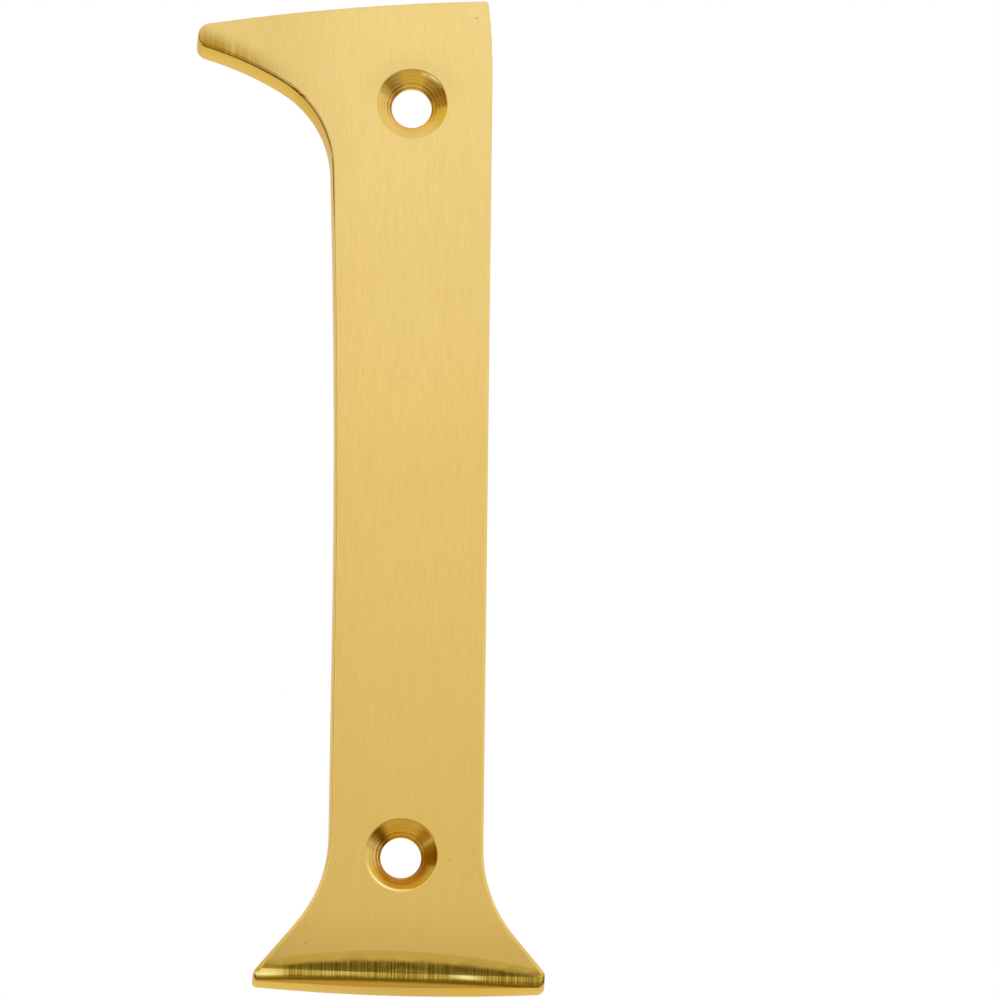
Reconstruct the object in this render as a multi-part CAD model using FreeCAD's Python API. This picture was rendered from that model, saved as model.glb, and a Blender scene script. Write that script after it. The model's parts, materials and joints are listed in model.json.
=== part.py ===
# Brass door number, the figure 1, cast in one piece.
# Millimetres. +Z runs up the figure, the front faces -Y, and the back rim lies in the plane Y = 0.
# The origin is on that plane, midway between the two screw holes.
import FreeCAD, Part
import math
import os

# Screw holes, one above the other
hole_spacing = 77.8
hole_radius = 2.05
countersink_radius = 3.62
countersink_angle = 84.0
rim_softening = 0.16

# Casting
thickness = 4.5
web = 2.05
wall_draft = 2.0

# Top edge and flag
hole_to_top = 11.25
top_fall = 3.27
top_crown = 0.5
flag_reach = 22.05

# Left side from the flag down: a broad curve, a tight bend, then a slow curve into the straight shank
flag_curve_radius = 32.0
bend_radius = 11.0
bend_turn = 56.2
bend_below_top = 18.07
slow_curve_radius = 1090.0
slow_curve_height = 45.73

# Shank
shank_left = 7.1
shank_right = 8.2
shoulder_radius = 71.0
shoulder_height = 8.5

# Foot
hole_to_foot = 12.79
foot_half_width = 14.5
flare_angle = 40.0
flare_share_left = 0.474
flare_share_right = 0.501
foot_end_left = 0.86
foot_end_right = 1.34
foot_tilt = 0.14
foot_lean = 0.15
foot_crown_front = 0.05
foot_crown_back = 0.56

# Hollow back
back_rim = 2.0
recess_draft = 6.0

# Belly and toe ground across the foot: a slow curve, slowest left of the middle, then a tight roll
grinding_tilt = 0.24
belly_start_tilt = 3.0
belly_middle_left = 2.5
belly_radius = 10.0
belly_end_radius = 1.8
toe_height = 0.98
toe_start_tilt = 15.5
toe_radius = 2.0

# Rounding
tip_round = 1.3
heel_round = 1.25
top_corner_round = 0.45
front_edge_round = 0.36
foot_corner_share = 1.25
right_heel_share = 2.2
back_edge_round = 0.3
recess_corner_round = 1.2
recess_floor_round = 0.45


def drafted(distance, angle):
    """How far a drafted wall moves sideways over a distance in depth."""
    return distance * math.tan(math.radians(angle))


# Worked out from the sizes above
upper_hole_z = hole_spacing / 2
lower_hole_z = -hole_spacing / 2
top_z = upper_hole_z + hole_to_top
foot_z = lower_hole_z - hole_to_foot
front_y = -thickness
web_back_y = front_y + web
recess_depth = thickness - web
back_grow = drafted(thickness, wall_draft)
foot_corner_round = front_edge_round * foot_corner_share
right_heel_round = front_edge_round * right_heel_share

# A face that looks this much along the depth is part of the front or the back, and any other of the walls
broad_facing = 0.3

# How far a cutting shape runs past what it cuts, and how close two measures count as the same
overrun = 1.0
tolerance = 1e-4


def point(x, z, y=0.0):
    return FreeCAD.Vector(x, y, z)


def on_circle(centre, radius, angle):
    return centre + point(radius * math.cos(angle), radius * math.sin(angle))


def upper_z_on_circle(centre, radius, x):
    return centre.z + math.sqrt(radius**2 - (x - centre.x) ** 2)


def circles_meet(centre_a, radius_a, centre_b, radius_b):
    """The upper of the two crossings of two circles."""
    across = centre_b - centre_a
    span = across.Length
    along = (radius_a**2 - radius_b**2 + span**2) / (2 * span)
    middle = centre_a + across * (along / span)
    side = point(-across.z, across.x) * (math.sqrt(radius_a**2 - along**2) / span)
    return max(middle + side, middle - side, key=lambda crossing: crossing.z)


def arc(start, middle, end):
    return Part.Arc(start, middle, end).toShape()


def arc_on_circle(centre, radius, start, end):
    """The short way round a circle from one of its points to another."""
    middle = (start + end) / 2 - centre
    return arc(start, centre + middle * (radius / middle.Length), end)


def top_edge_circle():
    """The circle of the crowned top edge, which falls from the right corner to the flag's tip."""
    right = point(shank_right, top_z)
    left = point(-flag_reach, top_z - top_fall)
    along = left - right
    upward = point(along.z, -along.x) / along.Length
    radius = ((along.Length / 2) ** 2 + top_crown**2) / (2 * top_crown)
    return (left + right) / 2 - upward * (radius - top_crown), radius


def left_side(grow, tip_x):
    """Three tangent arcs from the flag's heel down to the straight of the shank, and their two ends."""
    straight_top_z = top_z - bend_below_top - slow_curve_height
    slow_centre = point(-shank_left - slow_curve_radius, straight_top_z)
    slow_turn = math.asin(slow_curve_height / slow_curve_radius)
    bend_centre = on_circle(slow_centre, slow_curve_radius - bend_radius, slow_turn)
    bend_end = slow_turn + math.radians(bend_turn)
    flag_centre = on_circle(bend_centre, bend_radius - flag_curve_radius, bend_end)

    flag = flag_curve_radius - grow
    bend = bend_radius - grow
    slow = slow_curve_radius - grow
    heel = point(tip_x, upper_z_on_circle(flag_centre, flag, tip_x))
    bend_top = on_circle(bend_centre, bend, bend_end)
    bend_foot = on_circle(bend_centre, bend, slow_turn)
    straight_top = on_circle(slow_centre, slow, 0.0)
    edges = [
        arc_on_circle(flag_centre, flag, heel, bend_top),
        arc_on_circle(bend_centre, bend, bend_top, bend_foot),
        arc_on_circle(slow_centre, slow, bend_foot, straight_top),
    ]
    return edges, heel, straight_top


def foot_side(side, grow, foot_drop):
    """One side of the foot, -1 left or +1 right: its edges from the shank down, its start, its corners."""
    half_shank = shank_left if side < 0 else shank_right
    flare_share = flare_share_left if side < 0 else flare_share_right
    end_height = foot_end_left if side < 0 else foot_end_right
    reach = foot_half_width - half_shank
    angle = math.radians(flare_angle)
    radius = flare_share * reach / (1 - math.cos(angle))
    slope = -side * foot_tilt / foot_half_width
    shoulder_z = foot_z + slope * foot_half_width + end_height
    arc_end_z = shoulder_z + (1 - flare_share) * reach / math.tan(angle)
    centre = point(half_shank + radius, arc_end_z + radius * math.sin(angle))
    start, middle, end = (on_circle(centre, grow - radius, turn) for turn in (0.0, angle / 2, angle))

    end_x = foot_half_width + grow
    shoulder = point(end_x, end.z - (end_x - end.x) / math.tan(angle))
    heel = point(end_x, foot_z + slope * end_x - foot_drop - grow)
    places = (start, middle, end, shoulder, heel)
    start, middle, end, shoulder, heel = (point(side * place.x, place.z) for place in places)
    edges = [arc(start, middle, end), Part.makeLine(end, shoulder), Part.makeLine(shoulder, heel)]
    return edges, start, [shoulder, heel]


def outline(y, grow, foot_drop, foot_crown):
    """The figure's outline at depth y, grown by an amount all round, and its corners."""
    tip_x = -flag_reach - grow
    top_centre, top_radius = top_edge_circle()
    top_radius += grow
    side_centre = point(shank_right - shoulder_radius, top_z - shoulder_height)
    side_radius = shoulder_radius + grow

    tip = point(tip_x, upper_z_on_circle(top_centre, top_radius, tip_x))
    top_corner = circles_meet(top_centre, top_radius, side_centre, side_radius)
    side_foot = on_circle(side_centre, side_radius, 0.0)
    left_edges, heel, straight_top = left_side(grow, tip_x)
    flare_left, left_start, left_corners = foot_side(-1, grow, foot_drop)
    flare_right, right_start, right_corners = foot_side(1, grow, foot_drop)
    foot_left, foot_right = left_corners[-1], right_corners[-1]
    foot_middle = (foot_left + foot_right) / 2 - point(0.0, foot_crown)

    edges = [
        Part.makeLine(heel, tip),
        arc_on_circle(top_centre, top_radius, tip, top_corner),
        arc_on_circle(side_centre, side_radius, top_corner, side_foot),
        Part.makeLine(side_foot, right_start),
        *flare_right,
        arc(foot_right, foot_middle, foot_left),
        *flare_left[::-1],
        Part.makeLine(left_start, straight_top),
        *left_edges[::-1],
    ]
    depth = FreeCAD.Vector(0, y, 0)
    corners = [place + depth for place in (tip, heel, top_corner, *left_corners, *right_corners)]
    return Part.Wire(edges).translated(depth), corners


def solid_of(shape):
    return max(shape.Solids, key=lambda solid: solid.Volume)


def touches(edge, corner):
    return any(vertex.Point.distanceToPoint(corner) < tolerance for vertex in edge.Vertexes)


def edge_at(shape, corner):
    """The edge that runs from a corner of the outline through the depth of the piece."""
    touching = [edge for edge in shape.Edges if touches(edge, corner)]
    return max(touching, key=lambda edge: edge.BoundBox.YLength)


def round_corners(shape, corners, radii):
    for corner, radius in zip(corners, radii):
        shape = shape.makeFillet(radius, [edge_at(shape, corner)])
    return solid_of(shape)


def facing(face, place):
    """The depth component of a face's outward normal at a place on it."""
    return face.normalAt(*face.Surface.parameter(place)).y


def rim_edges(shape, direction):
    """The outer edges where a broad face, front (-1) or back (+1), turns down into the side walls."""
    found = []
    for edge in shape.Edges:
        middle = edge.valueAt((edge.FirstParameter + edge.LastParameter) / 2)
        depths = [direction * facing(face, middle) for face in shape.ancestorsOfType(edge, Part.Face)]
        if min(depths) < broad_facing < max(depths):
            found.append(edge)
    return found


def lies_at_depth(edge, y):
    return abs(edge.BoundBox.YMin - y) + abs(edge.BoundBox.YMax - y) < tolerance


def edges_at_depth(shape, y):
    return [edge for edge in shape.Edges if lies_at_depth(edge, y)]


def cast_body():
    """The drafted casting with its corners rounded, a little larger at the back than at the front."""
    front, corners = outline(front_y, 0.0, 0.0, foot_crown_front)
    back, _ = outline(0.0, back_grow, foot_lean, foot_crown_back)
    radii = (tip_round, heel_round, top_corner_round, *[foot_corner_round] * 3, right_heel_round)
    return round_corners(Part.makeLoft([front, back], True, True), corners, radii)


def foot_profile(x, radius):
    """A slice through what grinding takes off the foot, where the belly has the given radius."""
    start, toe_start, down = math.radians(belly_start_tilt), math.radians(toe_start_tilt), math.pi / 2
    toe_z = foot_z + toe_height
    belly_z = toe_z + radius * math.sin(toe_start)
    belly_y = front_y + radius * math.cos(start)
    roll_z = toe_z + toe_radius * math.sin(toe_start)
    roll_y = belly_y - (radius - toe_radius) * math.cos(toe_start)
    lowest_z = roll_z - toe_radius - overrun

    def on_belly(tilt):
        return FreeCAD.Vector(x, belly_y - radius * math.cos(tilt), belly_z - radius * math.sin(tilt))

    def on_toe(tilt):
        return FreeCAD.Vector(x, roll_y - toe_radius * math.cos(tilt), roll_z - toe_radius * math.sin(tilt))

    top, takeover, bottom = on_belly(0.0), on_toe(toe_start), on_toe(down)
    below = FreeCAD.Vector(x, bottom.y, lowest_z)
    low_front = FreeCAD.Vector(x, front_y - overrun, lowest_z)
    high_front = FreeCAD.Vector(x, front_y - overrun, top.z)
    corners = [bottom, below, low_front, high_front, top]
    edges = [
        arc(top, on_belly(toe_start / 2), takeover),
        arc(takeover, on_toe((toe_start + down) / 2), bottom),
        *[Part.makeLine(a, b) for a, b in zip(corners, corners[1:])],
    ]
    return Part.Wire(edges)


def foot_grinding():
    """What grinding takes off the foot, a shape that slopes down to the right as the foot does."""
    side_x = foot_half_width + back_grow + overrun
    places = ((-side_x, belly_end_radius), (-belly_middle_left, belly_radius), (side_x, belly_end_radius))
    grinding = Part.makeLoft([foot_profile(x, radius) for x, radius in places], True)
    slope = math.degrees(math.atan(grinding_tilt / foot_half_width))
    grinding.rotate(point(0.0, foot_z), FreeCAD.Vector(0, 1, 0), slope)
    return grinding


def soften_rims(body):
    """Rounds the polished front edge and the ground back edge all the way round."""
    body = solid_of(body.makeFillet(front_edge_round, rim_edges(body, -1)))
    return solid_of(body.makeFillet(back_edge_round, rim_edges(body, 1)))


def hollow():
    """The recess that the casting has behind, a drafted pocket with round corners inside an even rim."""
    back, _ = outline(0.0, back_grow, foot_lean, foot_crown_back)
    core = back.makeOffset2D(-back_rim - recess_corner_round)
    floor = core.makeOffset2D(recess_corner_round - drafted(recess_depth, recess_draft))
    mouth = core.makeOffset2D(recess_corner_round + drafted(overrun, recess_draft))
    floor.translate(FreeCAD.Vector(0, web_back_y, 0))
    mouth.translate(FreeCAD.Vector(0, overrun, 0))
    pocket = Part.makeLoft([floor, mouth], True, True)
    return solid_of(pocket.makeFillet(recess_floor_round, edges_at_depth(pocket, web_back_y)))


def screw_hole(body, z):
    """A countersunk hole through the web, with its rim softened by polishing."""
    half_angle = math.radians(countersink_angle / 2)
    depth = (countersink_radius - hole_radius) / math.tan(half_angle)
    mouth = point(0.0, z, front_y - overrun)
    inward = FreeCAD.Vector(0, 1, 0)
    mouth_radius = countersink_radius + overrun * math.tan(half_angle)
    cone = Part.makeCone(mouth_radius, hole_radius, overrun + depth, mouth, inward)
    drill = Part.makeCylinder(hole_radius, thickness + overrun, mouth, inward)
    body = solid_of(body.cut(cone.fuse(drill)))
    rim = [edge for edge in edges_at_depth(body, front_y) if is_circle(edge, countersink_radius, z)]
    return solid_of(body.makeFillet(rim_softening, rim))


def is_circle(edge, radius, z):
    curve = edge.Curve
    if not isinstance(curve, Part.Circle):
        return False
    return abs(curve.Radius - radius) + abs(curve.Center.z - z) < tolerance


def main():
    body = cast_body()
    body = solid_of(body.cut(foot_grinding()))
    body = soften_rims(body)
    body = solid_of(body.cut(hollow()))
    for z in (lower_hole_z, upper_hole_z):
        body = screw_hole(body, z)
    os.makedirs("parts", exist_ok=True)
    body.exportStep("parts/numeral.step")


main()
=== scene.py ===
# %% [markdown]
# A brass door number is a single casting, so this lesson is about finish and light. The casting arrives
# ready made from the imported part, in metres, with +Z up the figure, the front facing -Y and the door side
# at Y = 0. Everything here gives each ground, turned, buffed or plain cast surface the look of the real
# one.

# %% Bring in the casting
import bpy
import json
import math
from mathutils import Matrix, Vector

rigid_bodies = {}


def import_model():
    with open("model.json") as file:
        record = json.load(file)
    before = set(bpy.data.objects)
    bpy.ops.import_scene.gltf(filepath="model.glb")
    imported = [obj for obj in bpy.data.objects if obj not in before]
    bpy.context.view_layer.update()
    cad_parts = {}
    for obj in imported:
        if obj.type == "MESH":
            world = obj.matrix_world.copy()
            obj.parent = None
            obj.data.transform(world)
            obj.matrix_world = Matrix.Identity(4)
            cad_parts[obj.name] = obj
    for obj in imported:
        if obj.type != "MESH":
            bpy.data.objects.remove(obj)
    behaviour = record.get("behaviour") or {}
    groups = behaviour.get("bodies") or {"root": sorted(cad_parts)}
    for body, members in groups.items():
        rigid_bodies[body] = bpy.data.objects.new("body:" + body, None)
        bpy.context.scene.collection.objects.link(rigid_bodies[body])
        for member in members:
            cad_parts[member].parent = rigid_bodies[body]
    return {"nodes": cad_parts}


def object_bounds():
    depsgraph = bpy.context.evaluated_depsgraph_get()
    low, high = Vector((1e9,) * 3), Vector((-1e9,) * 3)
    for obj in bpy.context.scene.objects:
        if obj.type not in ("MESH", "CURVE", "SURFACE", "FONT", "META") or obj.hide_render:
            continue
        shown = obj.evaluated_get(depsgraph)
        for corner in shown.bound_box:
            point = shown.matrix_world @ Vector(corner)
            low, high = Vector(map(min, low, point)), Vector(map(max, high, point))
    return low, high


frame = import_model()
numeral = frame["nodes"]["numeral"]
cad_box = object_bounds()
low, high = cad_box
print("casting, mm:", [round((b - a) * 1000, 1) for a, b in zip(low, high)])

# %% [markdown]
# A few sizes of the casting place its finishes: how far each screw hole is from the middle, how wide the
# countersink is at the face, how far the flat front is from the door, and where the ground part of the
# foot begins. They could be measured from the mesh, but a reader follows a named length more easily, and
# the casting is made to these.

# %% Sizes that place the finishes
hole_height = 0.0389
countersink_radius = 0.00362
front = -0.0045
foot_top = -0.047
print("holes, mm:", hole_height * 2000, "apart; countersinks, mm:", countersink_radius * 2000, "across")

# %% [markdown]
# The numeral is seen from a little below and a little to the left, through a long lens, as in a product
# picture. A camera can be aimed by a tracking constraint or by its own axes. Its axes are built here,
# because they also carry the slight roll of the view. They are right, up and back, the three columns of
# its matrix.

# %% Camera
view_azimuth = math.radians(-2.5)
view_elevation = math.radians(-12.0)
view_roll = math.radians(0.66)
view_distance = 0.65
view_target = Vector((0.009465, -0.0045, -0.002382))

flat = math.cos(view_elevation)
back = Vector((math.sin(view_azimuth) * flat, -math.cos(view_azimuth) * flat, math.sin(view_elevation)))
level_right = Vector((0, 0, 1)).cross(back).normalized()
level_up = back.cross(level_right)
right = level_right * math.cos(view_roll) + level_up * math.sin(view_roll)
up = level_up * math.cos(view_roll) - level_right * math.sin(view_roll)

camera = bpy.data.objects.new("camera", bpy.data.cameras.new("camera"))
bpy.context.scene.collection.objects.link(camera)
camera.data.lens = 231.2
camera.data.sensor_width = 36
camera.data.clip_end = 20
place = view_target + back * view_distance
camera.matrix_world = Matrix.Translation(place) @ Matrix((right, up, back)).transposed().to_4x4()
bpy.context.scene.camera = camera
print("camera at", [round(x, 4) for x in place])

# %% [markdown]
# The finishes below are built from shader nodes. Short helpers keep the node lines readable: one adds a
# node and fills its inputs with values or links, one does sums, one fades smoothly between two values,
# and one makes a mark around one value. Others mix two colours, lay a colour on, spread colours along a
# value, and split a place into its three coordinates. Without them each line of a finish would take four.

# %% Helpers for node trees
def fill(tree, node, inputs):
    for name, value in inputs.items():
        if isinstance(value, bpy.types.NodeSocket):
            tree.links.new(value, node.inputs[name])
        else:
            node.inputs[name].default_value = value
    return node


def add_node(tree, kind, inputs=None, **settings):
    node = tree.nodes.new(kind)
    for name, value in settings.items():
        setattr(node, name, value)
    return fill(tree, node, inputs or {})


def maths(tree, operation, *values):
    return add_node(tree, "ShaderNodeMath", dict(enumerate(values)), operation=operation).outputs[0]


def times(tree, first, *others):
    for other in others:
        first = maths(tree, "MULTIPLY", first, other)
    return first


def fade(tree, value, start, end, first=0.0, last=1.0):
    """Runs smoothly from first to last while value goes from start to end."""
    inputs = {"Value": value, "From Min": start, "From Max": end, "To Min": first, "To Max": last}
    return add_node(tree, "ShaderNodeMapRange", inputs, interpolation_type="SMOOTHSTEP").outputs["Result"]


def near(tree, value, centre, reach):
    """One where value is at the centre, fading to nothing at the reach on either side."""
    apart = maths(tree, "ABSOLUTE", maths(tree, "SUBTRACT", value, centre))
    return fade(tree, apart, 0.0, reach, 1.0, 0.0)


def mix(tree, share, first, second):
    """Goes from the first colour to the second as share goes from 0 to 1."""
    return add_node(tree, "ShaderNodeMix", {0: share, 6: first, 7: second}, data_type="RGBA").outputs[2]


def tint(tree, base, share, colour):
    """Lays a colour over the base by a share."""
    return mix(tree, share, base, (*colour, 1.0))


def ramp(tree, value, stops):
    node = add_node(tree, "ShaderNodeValToRGB", {"Fac": value})
    marks = node.color_ramp.elements
    while len(marks) < len(stops):
        marks.new(0.5)
    for mark, (position, colour) in zip(marks, stops):
        mark.position = position
        mark.color = (*colour, 1.0)
    return node.outputs["Color"]


def split(tree, vector):
    return add_node(tree, "ShaderNodeSeparateXYZ", {"Vector": vector}).outputs


print("helpers ready")

# %% [markdown]
# What several finishes share is a shader node group with named sockets, built once and used by each. A
# group could be copied by hand into every material, but then a change would have to be made six times.

# %% Helpers for node groups
def new_group(name, inputs, outputs):
    group = bpy.data.node_groups.new(name, "ShaderNodeTree")
    for socket, (kind, value) in inputs.items():
        made = group.interface.new_socket(socket, in_out="INPUT", socket_type="NodeSocket" + kind)
        if value is not None:
            made.default_value = value
    for socket, kind in outputs.items():
        group.interface.new_socket(socket, in_out="OUTPUT", socket_type="NodeSocket" + kind)
    return group, group.nodes.new("NodeGroupInput").outputs, group.nodes.new("NodeGroupOutput")


def use_group(tree, group, inputs):
    return fill(tree, add_node(tree, "ShaderNodeGroup", node_tree=group), inputs).outputs


print("group helpers ready")

# %% [markdown]
# Satin brass gets its look from an abrasive belt run up and down the figure: thousands of hair-fine
# scratches, long one way and narrow the other. An image could hold them, but noise stretched along one
# axis is sharper close up and needs no unwrapping. The group takes the place, a stretch for each axis,
# and gives a height.

# %% Effect: fine scratches
scratch_group, given, result = new_group(
    "fine scratches",
    {"Place": ("Vector", None), "Stretch": ("Vector", (1.0, 1.0, 1.0)), "Detail": ("Float", 3.0)},
    {"Height": "Float"},
)
factors = {0: given["Place"], 1: given["Stretch"]}
stretched = add_node(scratch_group, "ShaderNodeVectorMath", factors, operation="MULTIPLY")
noise = {"Vector": stretched.outputs[0], "Scale": 1.0, "Detail": given["Detail"], "Roughness": 0.6}
fill(scratch_group, result, {"Height": add_node(scratch_group, "ShaderNodeTexNoise", noise).outputs["Fac"]})
print("group made:", scratch_group.name)

# %% [markdown]
# Brass is never one colour. Handling and lacquer leave soft clouds a shade deeper than the metal between
# them. One wide noise, faded so that most of the metal stays clean, mixes a little of the deeper colour
# in.

# %% Effect: brass tone
tone_group, given, result = new_group(
    "brass tone",
    {
        "Place": ("Vector", None),
        "Color": ("Color", (0.8, 0.55, 0.18, 1.0)),
        "Deeper": ("Color", (0.6, 0.36, 0.09, 1.0)),
        "Amount": ("Float", 0.3),
        "Size": ("Float", 90.0),
    },
    {"Color": "Color"},
)
noise = {"Vector": given["Place"], "Scale": given["Size"], "Detail": 4.0}
cloud = add_node(tone_group, "ShaderNodeTexNoise", noise).outputs["Fac"]
share = times(tone_group, fade(tone_group, cloud, 0.3, 0.7), given["Amount"])
fill(tone_group, result, {"Color": mix(tone_group, share, given["Color"], given["Deeper"])})
print("group made:", tone_group.name)

# %% [markdown]
# The rings that a cutter leaves in a countersink and the faint painted shade above a hole follow the
# distance from the middle of that hole, and where light and dark lie in the cone follows the way around it,
# in radians from the right. A thin line of painted shade lies along the upper half of each rim, where cone
# and face meet, so the group gives a mask for it too. The two holes lie at the same height above and below
# the middle, so one group serves both.

# %% Effect: place around the screw hole
hole_group, given, result = new_group(
    "place around hole",
    {"Place": ("Vector", None)},
    {"Radius": "Float", "Angle": "Float", "Rise": "Float", "Rim": "Float"},
)
x, y, z = split(hole_group, given["Place"])
beyond = maths(hole_group, "SUBTRACT", maths(hole_group, "ABSOLUTE", z), hole_height)
rise = times(hole_group, beyond, maths(hole_group, "SIGN", z))
square = maths(hole_group, "ADD", times(hole_group, x, x), times(hole_group, rise, rise))
angle = maths(hole_group, "ARCTAN2", rise, x)
radius = maths(hole_group, "SQRT", square)
upper_side = fade(hole_group, rise, 0.0012, 0.0028)
rim = times(hole_group, near(hole_group, radius, countersink_radius + 0.00005, 0.00016), upper_side)
fill(hole_group, result, {"Radius": radius, "Angle": angle, "Rise": rise, "Rim": rim})
print("group made:", hole_group.name)

# %% [markdown]
# In two places the real metal mirrors something bright that this plain room doesn't hold: parts of the
# countersinks, and two short lengths of the foot. There the normal is turned toward the front, so that
# the metal mirrors what the face does. It is a stand-in for that light. The group adds an amount of the
# forward direction to the normal.

# %% Effect: turned to the front
turn_group, given, result = new_group(
    "turned to the front", {"Amount": ("Float", 0.0)}, {"Normal": "Vector"}
)
surface = add_node(turn_group, "ShaderNodeNewGeometry").outputs["Normal"]
forward = {0: (0.0, -1.0, 0.0), "Scale": given["Amount"]}
forward = add_node(turn_group, "ShaderNodeVectorMath", forward, operation="SCALE").outputs[0]
leaning = add_node(turn_group, "ShaderNodeVectorMath", {0: surface, 1: forward}, operation="ADD").outputs[0]
leaning = add_node(turn_group, "ShaderNodeVectorMath", {0: leaning}, operation="NORMALIZE").outputs[0]
fill(turn_group, result, {"Normal": leaning})
print("group made:", turn_group.name)

# %% [markdown]
# A material holds the one shader of a finish, and its group of effects feeds it. Every finish here is
# bare metal, so the start is the same: a metallic shader, and the place on the casting that the effects
# are measured from.

# %% Start of each finish
def start_material(name):
    material = bpy.data.materials.new(name)
    material.use_nodes = True
    tree = material.node_tree
    tree.nodes.clear()
    shader = add_node(tree, "ShaderNodeBsdfPrincipled", {"Metallic": 1.0})
    output = tree.nodes.new("ShaderNodeOutputMaterial")
    tree.links.new(shader.outputs["BSDF"], output.inputs["Surface"])
    numeral.data.materials.append(material)
    return tree, shader, add_node(tree, "ShaderNodeTexCoord").outputs["Object"]


def give_bump(tree, shader, height, strength, distance, normal=None):
    bump = add_node(tree, "ShaderNodeBump", {"Height": height, "Strength": strength, "Distance": distance})
    if normal:
        tree.links.new(normal, bump.inputs["Normal"])
    tree.links.new(bump.outputs["Normal"], shader.inputs["Normal"])


numeral.data.materials.clear()
print("old materials on the casting:", len(numeral.data.materials))

# %% [markdown]
# The front is belt-finished satin with an upright grain. Painted light makes it a little paler toward the
# top.
# Painted shade makes it a little deeper above the foot, toward the flag, above the upper hole, and along
# the flag's lower edge, where its streaks show and a painted dark line runs. Four small specks lie on it.
# Here each is a mask from the place on the casting, which is simple and steady, but it stays where it is
# when the part is seen from the side.

# %% Satin front
tree, shader, where = start_material("satin_front")
x, y, z = split(tree, where)
# Painted light: the base colour is paler toward the top, standing in for brighter light on the upper face.
foot, middle, top = (0.855, 0.587, 0.163), (0.87, 0.611, 0.19), (0.91, 0.68, 0.26)
base = ramp(tree, fade(tree, z, low[2], high[2]), [(0.0, foot), (0.5, middle), (1.0, top)])
tones = {"Place": where, "Color": base, "Deeper": (0.82, 0.55, 0.15, 1.0), "Amount": 0.2}
base = use_group(tree, tone_group, tones)["Color"]

scratches = use_group(tree, scratch_group, {"Place": where, "Stretch": (9000.0, 2000.0, 350.0)})["Height"]
streaks = use_group(tree, scratch_group, {"Place": where, "Stretch": (3000.0, 100.0, 160.0)})["Height"]
grain = use_group(tree, scratch_group, {"Place": where, "Stretch": (5000.0, 5000.0, 4200.0)})["Height"]
marks_left = [
    (scratches, 0.12, (0.60, 0.40, 0.10)),
    (streaks, 0.05, (0.55, 0.37, 0.09)),
    (grain, 0.09, (0.58, 0.40, 0.11)),
]
for height, amount, colour in marks_left:
    base = tint(tree, base, times(tree, fade(tree, height, 0.35, 0.65), amount), colour)
# Painted shade: a little deeper above the foot and toward the flag.
painted_shade_above_foot = fade(tree, z, -0.0435, -0.0492, 0.0, 0.28)
painted_shade_toward_flag = fade(tree, x, -0.0030, -0.0150, 0.0, 0.22)
base = tint(tree, base, painted_shade_above_foot, (0.50, 0.34, 0.08))
base = tint(tree, base, painted_shade_toward_flag, (0.55, 0.38, 0.11))

flag_slope, flag_height = 0.42, 0.03586
above_edge = maths(tree, "SUBTRACT", maths(tree, "ADD", z, times(tree, x, flag_slope)), flag_height)
# Painted shade: deeper along the flag's lower edge near its tip, where the face rolls off, with the streaks
# showing in it.
painted_shade_at_flag_tip = times(tree, fade(tree, above_edge, 0.0, 0.0024, 1.0, 0.0), fade(tree, x, -0.0205, -0.0100, 1.0, 0.0))
painted_shade_at_flag_tip = times(tree, painted_shade_at_flag_tip, fade(tree, streaks, 0.3, 0.6, 0.55, 1.0))
base = tint(tree, base, painted_shade_at_flag_tip, (0.43, 0.235, 0.02))
# Painted dark line: the rounded lower edge of the flag mirrors something dark.
under_flag = times(tree, fade(tree, above_edge, 0.0006, 0.0014, 1.0, 0.0), fade(tree, z, 0.024, 0.030))
under_flag = times(tree, under_flag, fade(tree, x, -0.0065, -0.0075))
rounded_edge = near(tree, y, -0.00434, 0.00017)
painted_dark_line = times(tree, under_flag, rounded_edge, fade(tree, x, -0.0190, -0.0130, 0.35, 1.0))
base = tint(tree, base, painted_dark_line, (0.26, 0.11, 0.0))

# Painted shade above the upper hole, and a painted dark line of shade along the upper half of each rim.
around = use_group(tree, hole_group, {"Place": where})
above_hole = fade(tree, z, hole_height - 0.001, hole_height + 0.003)
shade = times(tree, fade(tree, around["Radius"], countersink_radius, 0.0065, 0.16, 0.0), above_hole)
base = tint(tree, base, shade, (0.50, 0.34, 0.09))
base = tint(tree, base, times(tree, around["Rim"], 0.7), (0.32, 0.17, 0.0))

specks = [
    (0.0065, 0.0482, 0.00014),
    (-0.0094, -0.0479, 0.00013),
    (-0.0094, -0.0463, 0.0001),
    (0.0049, -0.0393, 0.00012),
]
for speck_x, speck_z, size in specks:
    ends = {0: where, 1: (speck_x, front, speck_z)}
    away = add_node(tree, "ShaderNodeVectorMath", ends, operation="DISTANCE").outputs["Value"]
    base = tint(tree, base, fade(tree, away, size * 0.4, size, 0.6, 0.0), (0.25, 0.15, 0.04))

fill(tree, shader, {"Base Color": base, "Roughness": 0.26})
give_bump(tree, shader, scratches, 0.3, 0.00001)
print("satin front with", len(marks_left), "kinds of marks and", len(specks), "specks")

# %% [markdown]
# The lower edge of the foot is ground across and then buffed brighter than the face. Its streaks run around
# the edge, as colour and as height; as colour they are real grinding marks and also painted shade on a band
# of the edge. Where the real one shines, at the left end and right of the middle, the streaks are left out,
# a painted highlight makes the metal paler, and its normal is turned a little to the front. A painted
# reflection lays a dark line under the bright band. These are masks by depth, so they stay where they are
# when the part is seen from the side.

# %% Buffed foot
tree, shader, where = start_material("buffed_foot")
x, y, z = split(tree, where)
across = {"Place": where, "Stretch": (6500.0, 60.0, 60.0), "Detail": 3.0}
marks = use_group(tree, scratch_group, across)["Height"]
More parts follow.
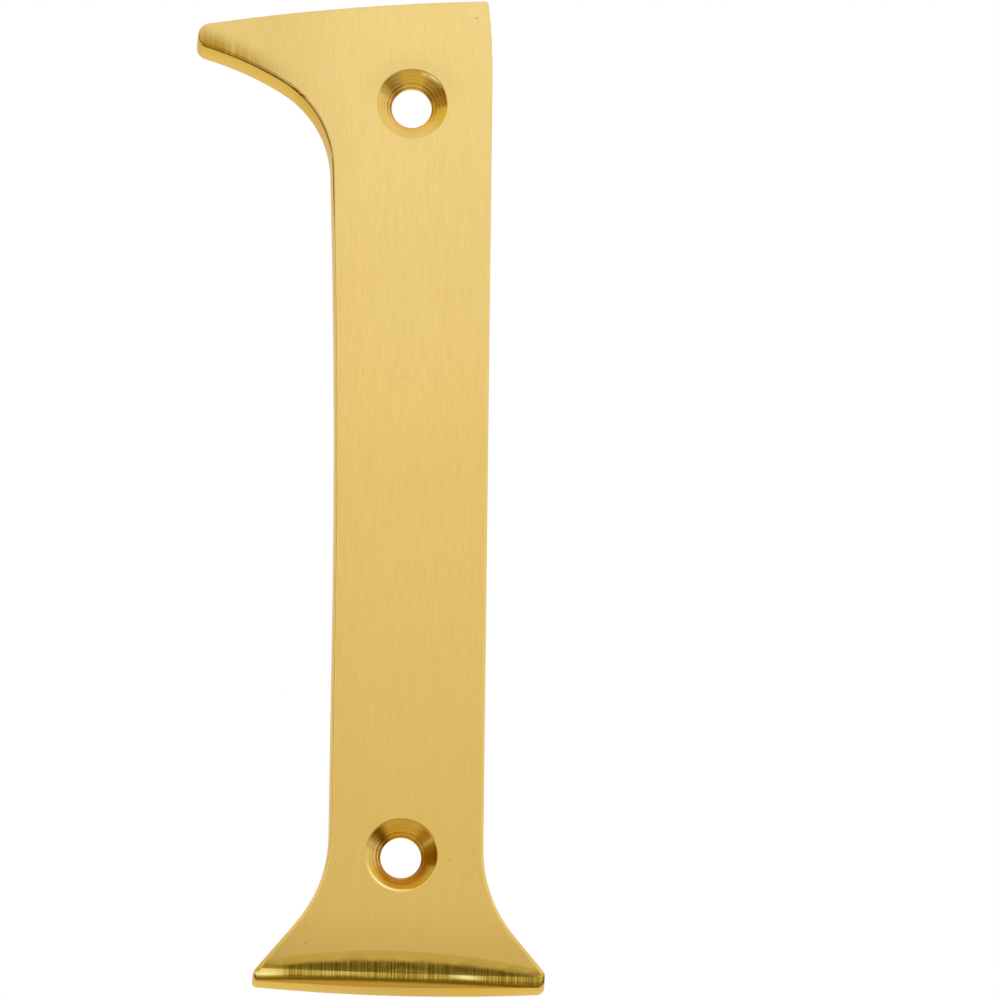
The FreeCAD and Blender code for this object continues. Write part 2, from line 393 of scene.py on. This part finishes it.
# Painted highlight: at the left end and right of the middle the streaks are left out and the metal is
# painted paler.
painted_highlight_patches = [(-0.0134, 0.0034, 0.95), (-0.0060, 0.0050, 0.30), (0.0066, 0.0026, 0.95)]
painted_highlight = 0.0
for middle, reach, amount in painted_highlight_patches:
    painted_highlight = maths(tree, "MAXIMUM", painted_highlight, times(tree, near(tree, x, middle, reach), amount))
bright_band = near(tree, y, -0.00413, 0.00019)
left_end = fade(tree, x, -0.0098, -0.0118)
painted_highlight = times(tree, painted_highlight, maths(tree, "MAXIMUM", bright_band, left_end))

# The streaks as colour are real grinding marks, and also painted shade that darkens a band of the edge.
ground = times(tree, fade(tree, y, -0.00443, -0.00435), fade(tree, y, -0.00400, -0.00365, 1.0, 0.0))
streaky = fade(tree, marks, 0.30, 0.62, 0.40, 0.95)
streaks_and_shade = times(tree, streaky, maths(tree, "SUBTRACT", 1.0, painted_highlight), ground)
base = mix(tree, times(tree, painted_highlight, bright_band), (0.92, 0.65, 0.15, 1.0), (1.0, 0.88, 0.50, 1.0))
base = tint(tree, base, streaks_and_shade, (0.22, 0.150, 0.008))
# Painted shade along the front of the edge; toward the back the edge also turns deeper and redder.
base = tint(tree, base, fade(tree, y, -0.00448, -0.00438, 0.24, 0.0), (0.50, 0.34, 0.08))
base = tint(tree, base, fade(tree, y, -0.00375, -0.00355, 0.0, 0.45), (0.50, 0.30, 0.12))
# Painted reflection: a dark line under the bright band.
painted_dark_line = times(tree, near(tree, y, -0.00378, 0.00028), 0.85)
base = tint(tree, base, painted_dark_line, (0.12, 0.08, 0.01))

turned = use_group(tree, turn_group, {"Amount": times(tree, painted_highlight, bright_band, 0.5)})["Normal"]
fill(tree, shader, {"Base Color": base, "Roughness": 0.16})
give_bump(tree, shader, marks, 1.0, 0.000008, turned)
print("buffed foot with", len(painted_highlight_patches), "clean patches")

# %% [markdown]
# The walls between front and back are only buffed. Near the front they are rich yellow, and toward the
# door they are paler: a painted reflection of the white ground on the door side. So their colour follows
# the depth, and their scratches run from front to back.

# %% Buffed walls
tree, shader, where = start_material("buffed_walls")
x, y, z = split(tree, where)
# Painted reflection: paler toward the door side, where the walls mirror the white ground.
painted_door_light_stops = [(0.0, (0.60, 0.46, 0.16)), (0.4, (0.68, 0.51, 0.22)), (1.0, (0.70, 0.56, 0.30))]
painted_door_light = ramp(tree, fade(tree, y, front, 0.0), painted_door_light_stops)
tones = {"Place": where, "Color": painted_door_light, "Deeper": (0.60, 0.40, 0.12, 1.0), "Amount": 0.3}
base = use_group(tree, tone_group, tones)["Color"]
scratches = use_group(tree, scratch_group, {"Place": where, "Stretch": (500.0, 7000.0, 500.0)})["Height"]
fill(tree, shader, {"Base Color": base, "Roughness": 0.26})
shader.inputs["Specular Tint"].default_value = (0.9, 0.68, 0.3, 1.0)
give_bump(tree, shader, scratches, 0.3, 0.00001)
print("walls", round(-front * 1000, 1), "mm deep")

# %% [markdown]
# A countersink is cut by a turning tool, which leaves fine rings, so rings go into its colour and its
# height. A cone mirrors the room all around it. On the real ones that gives a brown wedge at the upper
# left, another with ochre around it at the right, an orange lower side in the lower hole, and a glint on
# each rim. Here those are painted reflections and a painted highlight, masks by the way around the hole,
# and a painted dark line of shade runs along the upper half of each rim. At the left and below in the
# upper hole the normal is turned to the front as well.

# %% Turned countersinks
tree, shader, where = start_material("turned_countersinks")
x, y, z = split(tree, where)
around = use_group(tree, hole_group, {"Place": where})
radius, angle, rise = around["Radius"], around["Angle"], around["Rise"]
upper_hole = maths(tree, "GREATER_THAN", z, 0.0)
lower_hole = maths(tree, "SUBTRACT", 1.0, upper_hole)

rings_per_metre = 6000.0
ring_noise = {"W": times(tree, radius, rings_per_metre), "Scale": 1.0, "Detail": 2.0}
rings = add_node(tree, "ShaderNodeTexNoise", ring_noise, noise_dimensions="1D").outputs["Fac"]
tones = {"Place": where, "Color": (0.86, 0.59, 0.16, 1.0), "Deeper": (0.76, 0.50, 0.12, 1.0), "Amount": 0.4}
base = use_group(tree, tone_group, tones)["Color"]
base = tint(tree, base, times(tree, fade(tree, rings, 0.4, 0.65), 0.30), (0.52, 0.32, 0.05))

# Painted reflections: ochre, two dark wedges and an orange lower side, by the way around the hole.
ochre_middle = maths(tree, "SUBTRACT", -0.10, times(tree, upper_hole, 0.10))
ochre = near(tree, angle, ochre_middle, 0.95)
left_wedge = near(tree, angle, 2.38, 0.42)
right_wedge = near(tree, angle, times(tree, upper_hole, 0.62), 0.60)
base = tint(tree, base, times(tree, ochre, 0.8), (0.64, 0.37, 0.01))
for wedge in (left_wedge, right_wedge):
    base = tint(tree, base, times(tree, wedge, 0.84), (0.34, 0.16, 0.0))
orange = mix(tree, fade(tree, radius, 0.0026, 0.0032), (0.62, 0.29, 0.02, 1.0), (0.82, 0.55, 0.06, 1.0))
lower_side = fade(tree, z, -hole_height - 0.0004, -hole_height - 0.0022, 0.0, 0.8)
base = mix(tree, lower_side, base, orange)
# Painted shade: a dark line along the upper half of the rim.
base = tint(tree, base, times(tree, around["Rim"], 0.7), (0.32, 0.17, 0.0))

# Painted highlight: a glint on each rim.
glint_above = times(tree, near(tree, angle, 0.93, 0.44), upper_hole, near(tree, radius, 0.00358, 0.00026))
glint_below = times(tree, near(tree, angle, -2.15, 1.0), lower_hole, fade(tree, radius, 0.00335, 0.00348))
glint = maths(tree, "MAXIMUM", glint_above, glint_below)
base = tint(tree, base, glint, (1.0, 0.80, 0.36))

turned = times(tree, fade(tree, rise, 0.0006, -0.0022, 0.0, 0.55), upper_hole)
turned = maths(tree, "ADD", turned, fade(tree, x, -0.0008, -0.0026, 0.13, 0.25))
turned = maths(tree, "ADD", turned, times(tree, glint, 3.0))
fill(tree, shader, {"Base Color": base, "Roughness": 0.19})
give_bump(tree, shader, rings, 1.0, 0.000018, use_group(tree, turn_group, {"Amount": turned})["Normal"])
print("tool rings per mm:", rings_per_metre / 1000)

# %% [markdown]
# Behind, the hollow is left as it came from the sand: dull, grainy and patchy. A coarse noise gives its
# grain as height, and the tone group gives the patches.

# %% Plain cast recess
tree, shader, where = start_material("cast_recess")
patches = {"Place": where, "Color": (0.66, 0.45, 0.15, 1.0), "Deeper": (0.48, 0.30, 0.09, 1.0)}
base = use_group(tree, tone_group, {**patches, "Amount": 0.8, "Size": 300.0})["Color"]
grains_per_metre = 2200.0
noise = {"Vector": where, "Scale": grains_per_metre, "Detail": 4.0}
sand = add_node(tree, "ShaderNodeTexNoise", noise).outputs["Fac"]
fill(tree, shader, {"Base Color": base, "Roughness": 0.48})
give_bump(tree, shader, sand, 0.6, 0.00012)
print("cast recess, grain of", round(1000 / grains_per_metre, 2), "mm")

# %% [markdown]
# The rim around that hollow is ground flat so that it sits on the door. It shows straight scratches,
# coarser than those of the front, and is otherwise the same metal.

# %% Ground rim
tree, shader, where = start_material("ground_rim")
tones = {"Place": where, "Color": (0.84, 0.60, 0.20, 1.0), "Deeper": (0.74, 0.50, 0.14, 1.0), "Amount": 0.5}
base = use_group(tree, tone_group, tones)["Color"]
scratches = use_group(tree, scratch_group, {"Place": where, "Stretch": (7000.0, 2000.0, 300.0)})["Height"]
fill(tree, shader, {"Base Color": base, "Roughness": 0.32})
give_bump(tree, shader, scratches, 0.6, 0.00002)
finishes = [material.name for material in numeral.data.materials]
print("finishes:", ", ".join(finishes))

# %% [markdown]
# One mesh carries all six finishes, so each of its faces has to be given one. Faces could be picked by
# hand, but a rule is shorter and can be read. It asks where the face lies and which way it looks: cones
# near the holes, the tilted front of the foot, the front, the rim on the door side, the hollow behind,
# and walls for all the rest.

# %% Sort the faces by finish
def finish_of(spot, facing):
    """The name of the finish of a face, from its middle and the way it looks."""
    from_hole = math.hypot(spot.x, abs(spot.z) - hole_height)
    in_cone = from_hole < countersink_radius + 0.0001 and front + 0.00001 < spot.y < -0.0024
    if in_cone and abs(facing.y) < 0.97:
        return "turned_countersinks"
    if spot.z < foot_top and spot.y < -0.0026 and -0.9985 < facing.y < -0.3 and facing.z < 0:
        return "buffed_foot"
    if facing.y < -0.4 and spot.y < -0.003:
        return "satin_front"
    if spot.y > -0.000001 and facing.y > 0.99:
        return "ground_rim"
    if facing.y > 0.5 and spot.y < -0.001:
        return "cast_recess"
    return "buffed_walls"


counted = dict.fromkeys(finishes, 0)
for face in numeral.data.polygons:
    name = finish_of(face.center, face.normal)
    face.material_index = finishes.index(name)
    counted[name] += 1
print("faces by finish:", counted)

# %% [markdown]
# The numeral stays upright, high above a plain pale floor that carries no pattern. The camera sees a
# white room around it, as in a product picture, so that nothing competes with the metal.

# %% Floor
def panel(name, corner_a, corner_b, corner_c):
    a, b, c = Vector(corner_a), Vector(corner_b), Vector(corner_c)
    mesh = bpy.data.meshes.new(name)
    mesh.from_pydata([a, b, c, a + c - b], [], [(0, 1, 2, 3)])
    made = bpy.data.objects.new(name, mesh)
    bpy.context.scene.collection.objects.link(made)
    return made


floor_z = -0.22
floor = panel("floor", (-3, -3, floor_z), (3, -3, floor_z), (3, 3, floor_z))
floor_paint = bpy.data.materials.new("pale_floor")
floor_paint.use_nodes = True
paint = floor_paint.node_tree.nodes["Principled BSDF"]
paint.inputs["Base Color"].default_value = (0.9, 0.9, 0.9, 1)
paint.inputs["Roughness"].default_value = 0.8
floor.data.materials.append(floor_paint)
print("floor", round(low[2] - floor_z, 3), "m below the foot")

# %% [markdown]
# Polished metal has almost no colour of its own: it shows what stands around it. A photographer sets
# cards around brass so that its curves have something darker and something lighter to mirror. These cards
# glow by themselves instead of being lit, each standing in for a lit card or a part of the room. They are
# seen only in reflections, cast no shadow, and may change colour along one axis.

# %% Cards
def card(name, corners, colour=None, stops=None, axis="Z"):
    made = panel(name, *corners)
    made.visible_camera = False
    made.visible_diffuse = False
    made.visible_shadow = False
    made.visible_transmission = False
    paint = bpy.data.materials.new(name)
    paint.use_nodes = True
    tree = paint.node_tree
    tree.nodes.clear()
    glow = add_node(tree, "ShaderNodeEmission", {"Strength": 1.0})
    if stops:
        start, end = stops[0][0], stops[-1][0]
        where = add_node(tree, "ShaderNodeTexCoord").outputs["Object"]
        along = {"Value": split(tree, where)[axis], "From Min": start, "From Max": end}
        along = add_node(tree, "ShaderNodeMapRange", along).outputs["Result"]
        fill(tree, glow, {"Color": ramp(tree, along, [((p - start) / (end - start), c) for p, c in stops])})
    else:
        glow.inputs["Color"].default_value = (*colour, 1.0)
    output = tree.nodes.new("ShaderNodeOutputMaterial")
    tree.links.new(glow.outputs[0], output.inputs["Surface"])
    made.data.materials.append(paint)
    return made


dark = (0.06, 0.045, 0.004)
screen_stops = [
    (-0.218, (1.0, 1.0, 0.95)),
    (-0.205, (0.7, 0.62, 0.45)),
    (-0.184, dark),
    (-0.166, dark),
    (-0.154, (0.48, 0.42, 0.24)),
    (-0.116, (0.62, 0.57, 0.42)),
    (-0.08, (0.65, 0.60, 0.48)),
    (-0.03, (0.70, 0.66, 0.59)),
    (0.03, (0.84, 0.825, 0.785)),
    (0.11, (0.97, 0.975, 0.96)),
    (0.20, (1.06, 1.07, 1.09)),
    (0.35, (1.06, 1.06, 1.06)),
]
front_corners = [(-0.5, -0.5, -0.218), (0.5, -0.5, -0.218), (0.5, -0.5, 0.35)]
card("front_screen", front_corners, stops=screen_stops)

strip_corners = [(-0.2, -0.495, -0.2185), (0.2, -0.495, -0.2185), (0.2, -0.15, -0.2185)]
card("strip_below_lens", strip_corners, (1.0, 0.99, 0.82))

amber, pale, brown = (0.35, 0.19, 0.01), (0.65, 0.53, 0.21), (0.22, 0.12, 0.008)
under_stops = [(-0.4, amber), (-0.2, amber), (-0.12, pale), (0.12, pale), (0.2, brown), (0.6, brown)]
under_corners = [(-0.4, -0.14, -0.219), (0.6, -0.14, -0.219), (0.6, 0.25, -0.219)]
card("card_underneath", under_corners, stops=under_stops, axis="X")

card("card_behind", [(-1.2, 0.28, -0.219), (0.8, 0.28, -0.219), (0.8, 2.4, -0.219)], (1.15, 1.15, 1.12))
card("card_left", [(-0.5, -0.14, -0.215), (-0.5, 0.02, -0.215), (-0.5, 0.02, 0.2)], (0.30, 0.15, 0.005))
cards = [made.name for made in bpy.data.objects if made.name.startswith(("front_", "strip_", "card_"))]
print("cards:", len(cards))

# %% [markdown]
# One large soft lamp above gives the floor and the dull metal their light. It is left out of the
# reflections, where it would draw a white line along the top edge, because the white room already lights
# the polished surfaces.

# %% Lamp and room
lamp = bpy.data.objects.new("soft_lamp", bpy.data.lights.new("soft_lamp", "AREA"))
lamp.data.shape = "SQUARE"
lamp.data.size = 1.2
lamp.data.energy = 7.0
lamp.location = (-0.2, -0.3, 1.0)
lamp.rotation_euler = (math.radians(-16), math.radians(-11), 0)
lamp.visible_glossy = False
bpy.context.scene.collection.objects.link(lamp)

world = bpy.data.worlds.new("studio")
bpy.context.scene.world = world
world.use_nodes = True
tree = world.node_tree
tree.nodes.clear()
rays = tree.nodes.new("ShaderNodeLightPath")
seen = maths(tree, "MAXIMUM", rays.outputs["Is Camera Ray"], rays.outputs["Is Glossy Ray"])
seen = maths(tree, "MAXIMUM", seen, rays.outputs["Is Transmission Ray"])
room_light = 0.65
levels = {"Value": seen, "To Min": room_light, "To Max": 1.0}
strength = add_node(tree, "ShaderNodeMapRange", levels).outputs["Result"]
sky = add_node(tree, "ShaderNodeBackground", {"Color": (1, 1, 1, 1), "Strength": strength})
output = tree.nodes.new("ShaderNodeOutputWorld")
tree.links.new(sky.outputs[0], output.inputs["Surface"])
bpy.context.scene.view_settings.view_transform = "Standard"
print("lamp", lamp.data.energy, "W, room", room_light)
